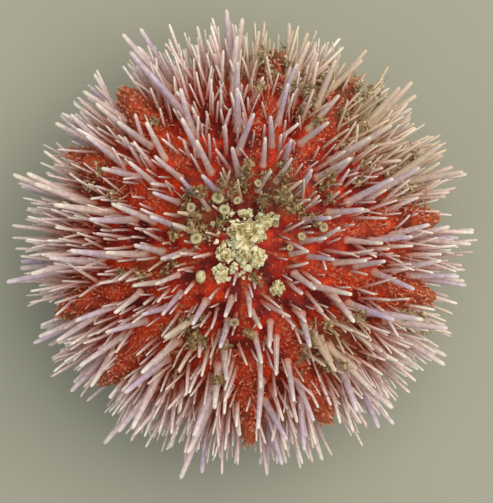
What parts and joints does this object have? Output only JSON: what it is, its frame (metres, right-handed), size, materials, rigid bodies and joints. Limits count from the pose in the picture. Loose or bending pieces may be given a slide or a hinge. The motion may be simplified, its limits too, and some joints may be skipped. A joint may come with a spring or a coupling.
{
  "type": "whole sea urchin",
  "caption": "Round domed sea urchin resting mouth down, set all over with short tapering spines, with shell grit held on its crown.",
  "frame": {"origin": "on the ground under the middle of the animal", "axes": "+Z up from the mouth to the apex; +X to the viewer's right when seen from above with +Y up"},
  "size_m": [0.0748, 0.0748, 0.0436],
  "materials": {
    "urchin_skin": "wet",
    "shell_grit": "rough"
  },
  "bodies": {
    "root": {"urchin": "urchin_skin", "grit_upper": "shell_grit", "grit_middle": "shell_grit", "grit_left": "shell_grit", "grit_right": "shell_grit", "grit_lobe": "shell_grit", "grit_chip": "shell_grit", "grit_nodule": "shell_grit", "grit_stray_left": "shell_grit", "grit_stray_right": "shell_grit"}
  },
  "joints": []
}
